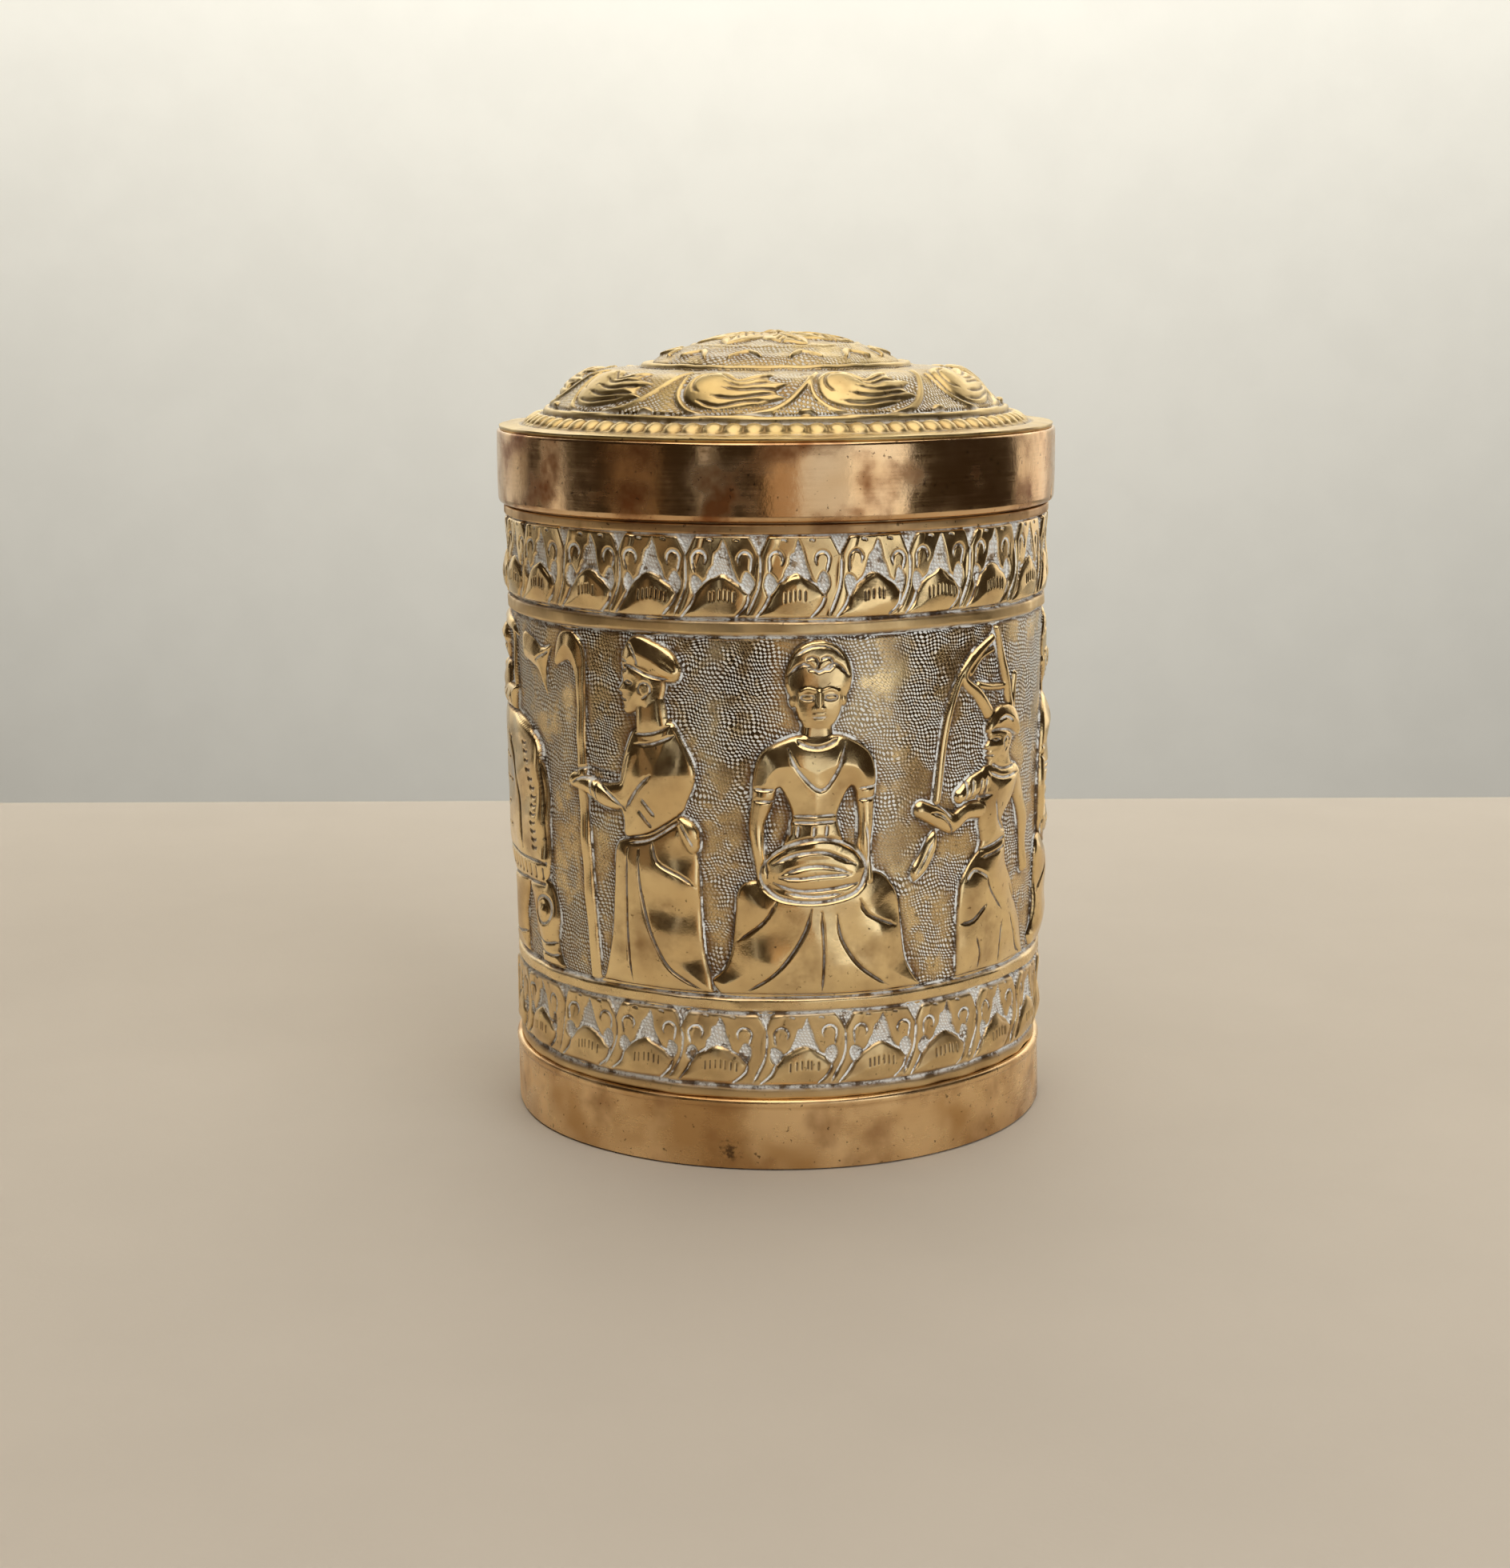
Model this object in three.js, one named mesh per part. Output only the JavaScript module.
// Embossed brass canister with a slip-on domed lid.
// Millimetres, +Z up, origin at the centre of the surface that it stands on.
import * as THREE from 'three';

// ---- Driving dimensions ----
const TURN_STEPS = 72;

const LID_RADIUS = 45;
const LID_BAND_BOTTOM = 99.2;
const LID_BAND_TOP = 110.9;
const LID_BAND_THICKNESS = 1.4;
const LID_EDGE_ROUND = 1.2;
const LID_EDGE_BEVEL = 0.5;

const DOME_SHEET = 0.6;
const DOME_EDGE_RADIUS = 44.6;

const RING_RADIUS = 43.8;
const RING_THICKNESS = 1.0;
const RING_HEIGHT = 11.0;
const RING_LIP_ROUND = 0.8;

const PLATE_RADIUS = 42.5;
const PLATE_BOTTOM = 1.5;
const PLATE_THICKNESS = 1.0;

const WALL_SHEET = 0.6;
const WALL_FOOT_RADIUS = 42.45;
const WALL_TOP = 97.5;
const WALL_GROUND_BOTTOM = 42.65;
const WALL_GROUND_TOP = 43.32;
const MOULDING_RISE = 0.55;
const MOULDING_SHOULDER = 0.4;
const LOWER_MOULDING = [24.7, 27.2];
const UPPER_MOULDING = [82.3, 84.9];

const NECK_TOP = 109.5;
const NECK_CLEARANCE = 0.3;
const NECK_THICKNESS = 1.0;
const SHOULDER_RADIUS = 44.1;
const SHOULDER_TOP = 98.95;
const SLEEVE_BOTTOM = 88;
const SLEEVE_THICKNESS = 0.9;
const SOLDER_GAP = 0.3;

// ---- Profile helpers: a profile is a list of [radius, height] points ----

// Points on a circular arc, angles in degrees from the outward direction.
function arc(radius, height, size, from, to, steps) {
  const points = [];
  for (let i = 0; i <= steps; i += 1) {
    const angle = THREE.MathUtils.degToRad(from + ((to - from) * i) / steps);
    points.push([radius + size * Math.cos(angle), height + size * Math.sin(angle)]);
  }
  return points;
}

// Points on a smooth curve through the given points.
function smooth(points, steps) {
  const curve = new THREE.SplineCurve(points.map(([r, z]) => new THREE.Vector2(r, z)));
  return curve.getPoints(steps).map((p) => [p.x, p.y]);
}

// The other face of a sheet: every point moved sideways by the sheet's thickness,
// to the left of the way that the profile runs. A point on the axis stays on it.
function otherFace(profile, thickness) {
  return profile.map(([r, z], i) => {
    const before = profile[Math.max(i - 1, 0)];
    const after = profile[Math.min(i + 1, profile.length - 1)];
    const length = Math.hypot(after[0] - before[0], after[1] - before[1]);
    const left = [-(after[1] - before[1]) / length, (after[0] - before[0]) / length];
    const radius = r === 0 ? 0 : r + left[0] * thickness;
    return [radius, z + left[1] * thickness];
  });
}

// Turns a counter-clockwise profile about the Z axis.
function turned(profile) {
  const closed = profile[0][0] === 0 ? profile : [...profile, profile[0]];
  const points = closed.map(([r, z]) => new THREE.Vector2(r, z));
  return new THREE.LatheGeometry(points, TURN_STEPS).rotateX(Math.PI / 2);
}

function part(name, geometry, color, roughness) {
  const material = new THREE.MeshStandardMaterial({ color, roughness, metalness: 1 });
  const mesh = new THREE.Mesh(geometry, material);
  mesh.name = name;
  return mesh;
}

// ---- Base ring: the plain band that the canister stands on ----
function baseRing() {
  const inner = RING_RADIUS - RING_THICKNESS;
  const lip = arc(RING_RADIUS - RING_LIP_ROUND, RING_HEIGHT - RING_LIP_ROUND, RING_LIP_ROUND, 0, 90, 3);
  const profile = [[inner, 0], [RING_RADIUS, 0], ...lip, [inner, RING_HEIGHT]];
  return part('base_ring', turned(profile), 0xa97c45, 0.38);
}

// ---- Base plate: a flat disc set inside the ring, under the wall ----
function basePlate() {
  const top = PLATE_BOTTOM + PLATE_THICKNESS;
  const profile = [[0, PLATE_BOTTOM], [PLATE_RADIUS, PLATE_BOTTOM], [PLATE_RADIUS, top], [0, top]];
  return part('base_plate', turned(profile), 0xa97c45, 0.5);
}

// ---- Wall: thin sheet, widening upward, with two raised mouldings ----
function wallRadius(height) {
  const share = (height - RING_HEIGHT) / (WALL_TOP - RING_HEIGHT);
  return THREE.MathUtils.lerp(WALL_GROUND_BOTTOM, WALL_GROUND_TOP, share);
}

function moulding([bottom, top]) {
  return [
    [wallRadius(bottom), bottom],
    [wallRadius(bottom) + MOULDING_RISE, bottom + MOULDING_SHOULDER],
    [wallRadius(top) + MOULDING_RISE, top - MOULDING_SHOULDER],
    [wallRadius(top), top],
  ];
}

function wall() {
  const foot = PLATE_BOTTOM + PLATE_THICKNESS;
  const outside = [
    [WALL_FOOT_RADIUS, foot],
    [WALL_FOOT_RADIUS, RING_HEIGHT],
    [wallRadius(RING_HEIGHT + 1), RING_HEIGHT + 1],
    ...moulding(LOWER_MOULDING),
    ...moulding(UPPER_MOULDING),
    [wallRadius(WALL_TOP), WALL_TOP],
  ];
  const inside = outside.map(([r, z]) => [r - WALL_SHEET, z]).reverse();
  return part('wall', turned([...outside, ...inside]), 0xb38a52, 0.35);
}

// ---- Neck collar: a sleeve inside the wall, a shoulder bead over the wall's edge,
// and the neck that the lid slides over ----
function neckCollar() {
  const neckOuter = LID_RADIUS - LID_BAND_THICKNESS - NECK_CLEARANCE;
  const neckInner = neckOuter - NECK_THICKNESS;
  const sleeveOuter = wallRadius(SLEEVE_BOTTOM) - WALL_SHEET - SOLDER_GAP;
  const sleeveInner = sleeveOuter - SLEEVE_THICKNESS;
  const profile = [
    [sleeveInner, SLEEVE_BOTTOM],
    [sleeveOuter, SLEEVE_BOTTOM],
    [sleeveOuter, WALL_TOP],
    [SHOULDER_RADIUS, WALL_TOP],
    [SHOULDER_RADIUS, SHOULDER_TOP],
    [neckOuter, SHOULDER_TOP],
    [neckOuter, NECK_TOP],
    [neckInner, NECK_TOP],
    [neckInner, SHOULDER_TOP],
    [sleeveInner, WALL_TOP],
  ];
  return part('neck_collar', turned(profile), 0x9c7443, 0.4);
}

// ---- Lid band: the plain polished band, round at its lower edge ----
function lidBand() {
  const inner = LID_RADIUS - LID_BAND_THICKNESS;
  const edge = arc(LID_RADIUS - LID_EDGE_ROUND, LID_BAND_BOTTOM + LID_EDGE_ROUND, LID_EDGE_ROUND, -90, 0, 3);
  const profile = [
    [inner, LID_BAND_BOTTOM],
    ...edge,
    [LID_RADIUS, LID_BAND_TOP - LID_EDGE_BEVEL],
    [LID_RADIUS - LID_EDGE_BEVEL, LID_BAND_TOP],
    [inner, LID_BAND_TOP],
  ];
  return part('lid_band', turned(profile), 0xb08a58, 0.18);
}

// ---- Lid dome: thin sheet lying on the band, rising in steps to a low central boss ----
function lidDome() {
  const rim = LID_BAND_TOP + DOME_SHEET;
  const at = ([r, rise]) => [r, rim + rise];
  const leafBand = [[40.4, 0.6], [38.9, 1.3], [36, 3.3], [33.4, 5.8], [30, 8.4], [26, 9.3], [22.4, 9.3]];
  const boss = [[19.8, 10.2], [17.5, 11.4], [13.5, 13], [8, 14.2], [3, 14.8]];
  const top = [
    [DOME_EDGE_RADIUS, 0],
    ...smooth(leafBand, 8),
    [21.3, 10],
    ...smooth(boss, 5),
    [0, 14.8],
  ].map(at);
  const under = otherFace(top, DOME_SHEET).reverse();
  return part('lid_dome', turned([...under, ...top]), 0xb58f58, 0.35);
}

const canister = new THREE.Group();
canister.add(baseRing(), basePlate(), wall(), neckCollar());

const lid = new THREE.Group();
lid.add(lidBand(), lidDome());

const brassCanister = new THREE.Group();
brassCanister.add(canister, lid);

export default brassCanister;
